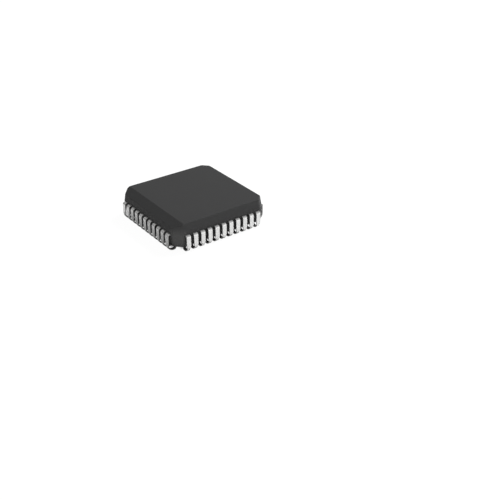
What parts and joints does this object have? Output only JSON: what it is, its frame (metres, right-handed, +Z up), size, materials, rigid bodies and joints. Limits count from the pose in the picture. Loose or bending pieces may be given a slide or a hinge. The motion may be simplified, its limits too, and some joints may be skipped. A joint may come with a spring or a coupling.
{
  "type": "plastic leaded chip carrier",
  "caption": "Square dark moulded chip carrier with rows of J-shaped tin-plated leads on all sides, a bevelled index edge and cut corners, for soldering or socketing on a circuit board.",
  "frame": {"origin": "centre of the seating plane that the undersides of the leads rest on", "axes": "+Z up from the board through the flat top; the bevelled side with the first lead faces -X, and the leads count on from its middle towards -Y, counter-clockwise seen from above"},
  "size_m": [0.0176, 0.0176, 0.0046],
  "materials": {
    "moulding": "fine matt moulded epoxy",
    "plated_lead": "matt tin plate on copper alloy",
    "copper": "stamped copper alloy",
    "adhesive": "cured filled epoxy",
    "silicon": "polished silicon",
    "gold_wire": "drawn gold wire"
  },
  "bodies": {
    "root": {"body": "moulding", "lead_01": "plated_lead", "lead_02": "plated_lead", "lead_03": "plated_lead", "lead_04": "plated_lead", "lead_05": "plated_lead", "lead_06": "plated_lead", "lead_07": "plated_lead", "lead_08": "plated_lead", "lead_09": "plated_lead", "lead_10": "plated_lead", "lead_11": "plated_lead", "lead_12": "plated_lead", "lead_13": "plated_lead", "lead_14": "plated_lead", "lead_15": "plated_lead", "lead_16": "plated_lead", "lead_17": "plated_lead", "lead_18": "plated_lead", "lead_19": "plated_lead", "lead_20": "plated_lead", "lead_21": "plated_lead", "lead_22": "plated_lead", "lead_23": "plated_lead", "lead_24": "plated_lead", "lead_25": "plated_lead", "lead_26": "plated_lead", "lead_27": "plated_lead", "lead_28": "plated_lead", "lead_29": "plated_lead", "lead_30": "plated_lead", "lead_31": "plated_lead", "lead_32": "plated_lead", "lead_33": "plated_lead", "lead_34": "plated_lead", "lead_35": "plated_lead", "lead_36": "plated_lead", "lead_37": "plated_lead", "lead_38": "plated_lead", "lead_39": "plated_lead", "lead_40": "plated_lead", "lead_41": "plated_lead", "lead_42": "plated_lead", "lead_43": "plated_lead", "lead_44": "plated_lead", "die_paddle": "copper", "die_attach": "adhesive", "silicon_die": "silicon", "bond_wires_left": "gold_wire", "bond_wires_front": "gold_wire", "bond_wires_right": "gold_wire", "bond_wires_back": "gold_wire"}
  },
  "joints": []
}
